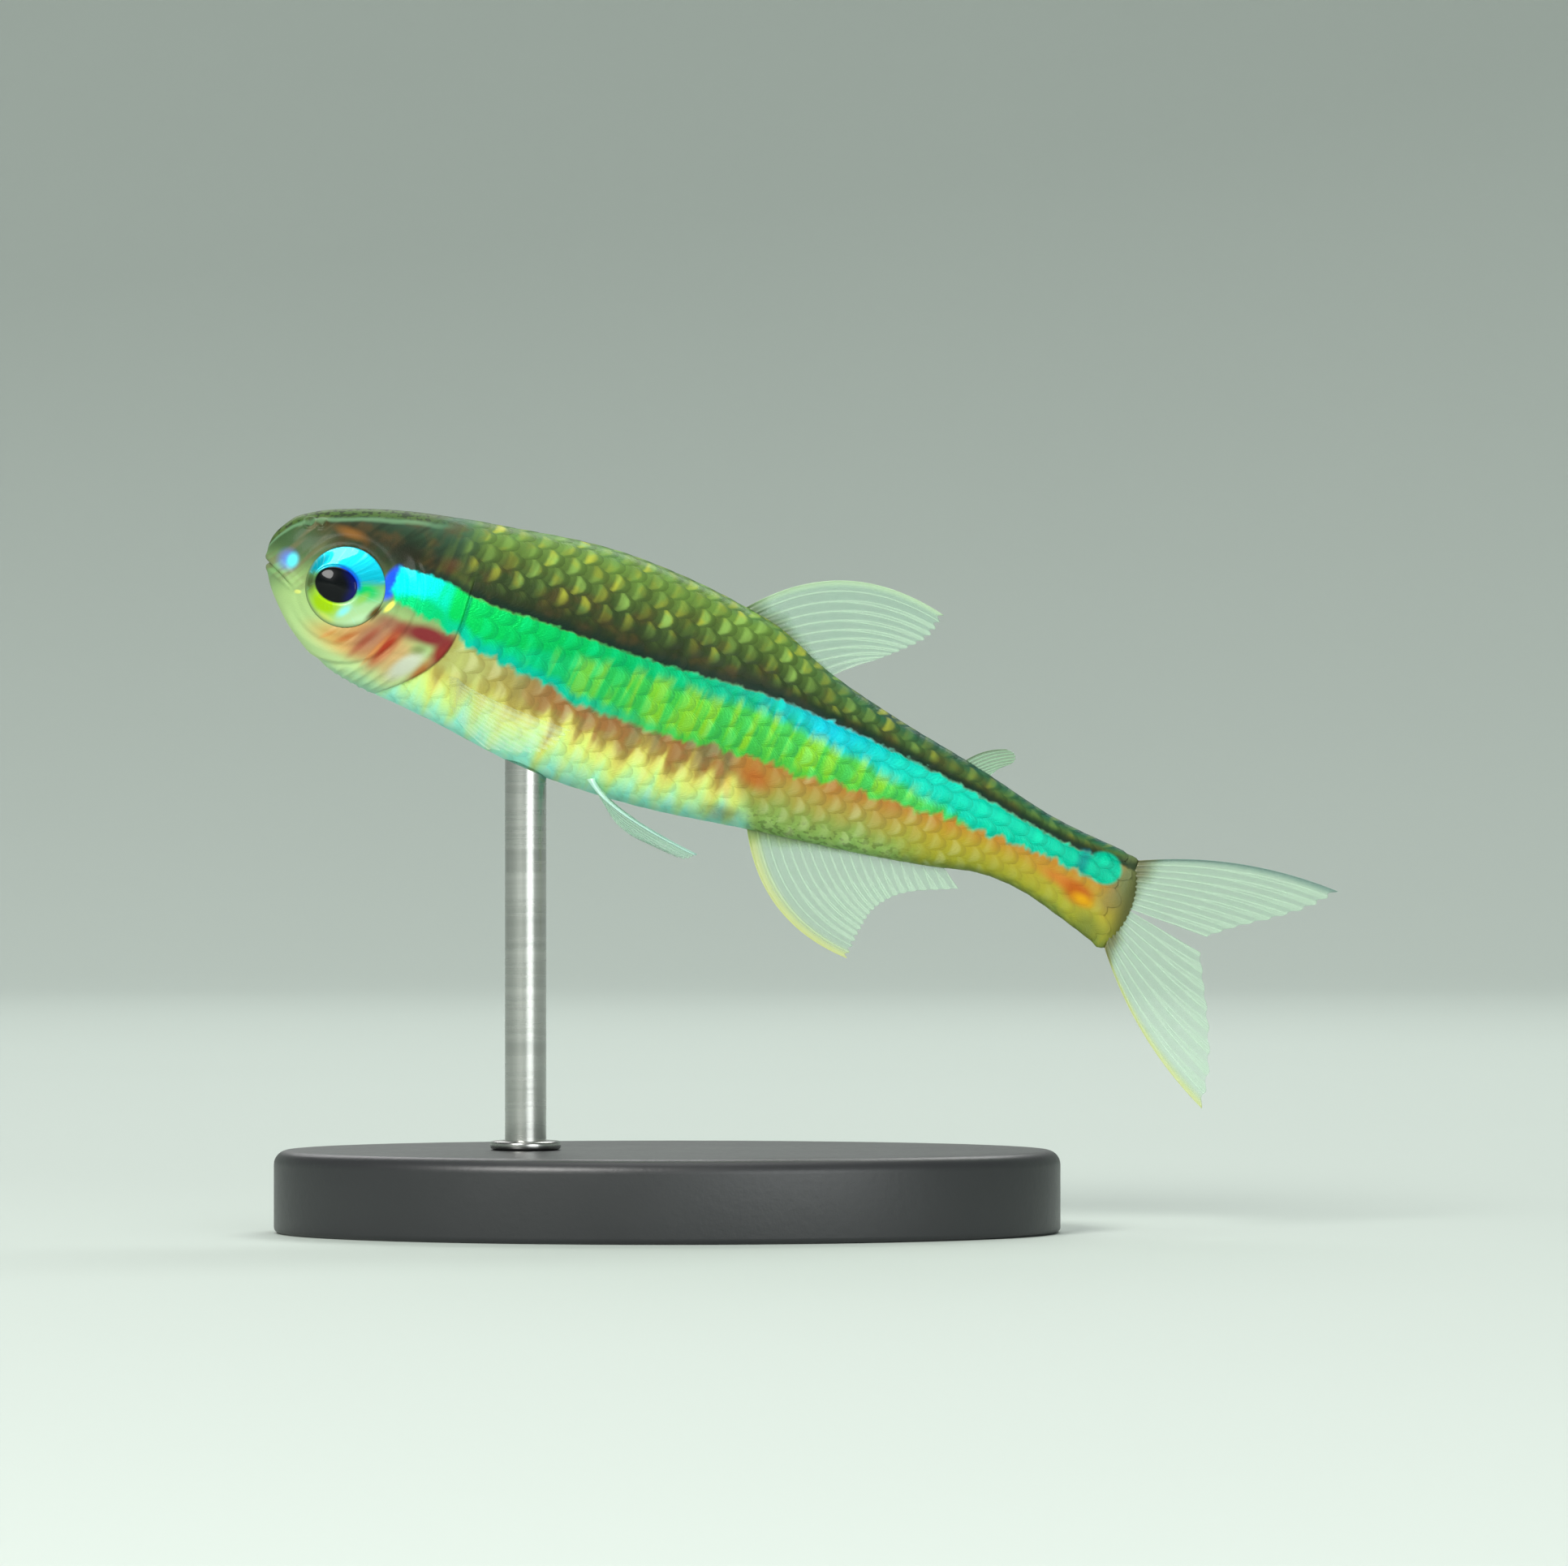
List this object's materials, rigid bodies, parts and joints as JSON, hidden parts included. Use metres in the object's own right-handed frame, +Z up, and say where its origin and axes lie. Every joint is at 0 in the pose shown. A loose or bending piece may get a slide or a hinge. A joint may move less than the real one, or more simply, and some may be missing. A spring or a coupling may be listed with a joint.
{
  "type": "green neon tetra",
  "caption": "Small slender fish with a bright green stripe, a still life-size model held head-up by a thin rod on an oval base",
  "frame": {"origin": "middle of the underside of the stand's base", "axes": "+X towards the fish's tail, +Y towards its right side, +Z up; the fish is pitched 21.4 degrees head-up"},
  "size_m": [0.0259, 0.012, 0.0175],
  "materials": {
    "head_skin": "wet skin, olive above and pale below",
    "trunk_skin": "wet scales, dark olive back, green stripe, cream belly",
    "tail_skin": "wet scales, turquoise stripe over ochre",
    "gill_cover": "thin bony plate, red and silver",
    "eye": "polished, black pupil in a cyan and yellow-green iris",
    "fin": "clear membrane with pale rays",
    "stand_base": "satin black",
    "stand_rod": "fine brushed"
  },
  "bodies": {
    "root": {"head": "head_skin", "trunk": "trunk_skin", "tail": "tail_skin", "gill_cover_left": "gill_cover", "gill_cover_right": "gill_cover", "eye_left": "eye", "eye_right": "eye", "dorsal_fin": "fin", "adipose_fin": "fin", "anal_fin": "fin", "caudal_fin_upper": "fin", "caudal_fin_lower": "fin", "pectoral_fin_left": "fin", "pectoral_fin_right": "fin", "pelvic_fin_left": "fin", "pelvic_fin_right": "fin", "stand_base": "stand_base", "stand_rod": "stand_rod"}
  },
  "joints": []
}
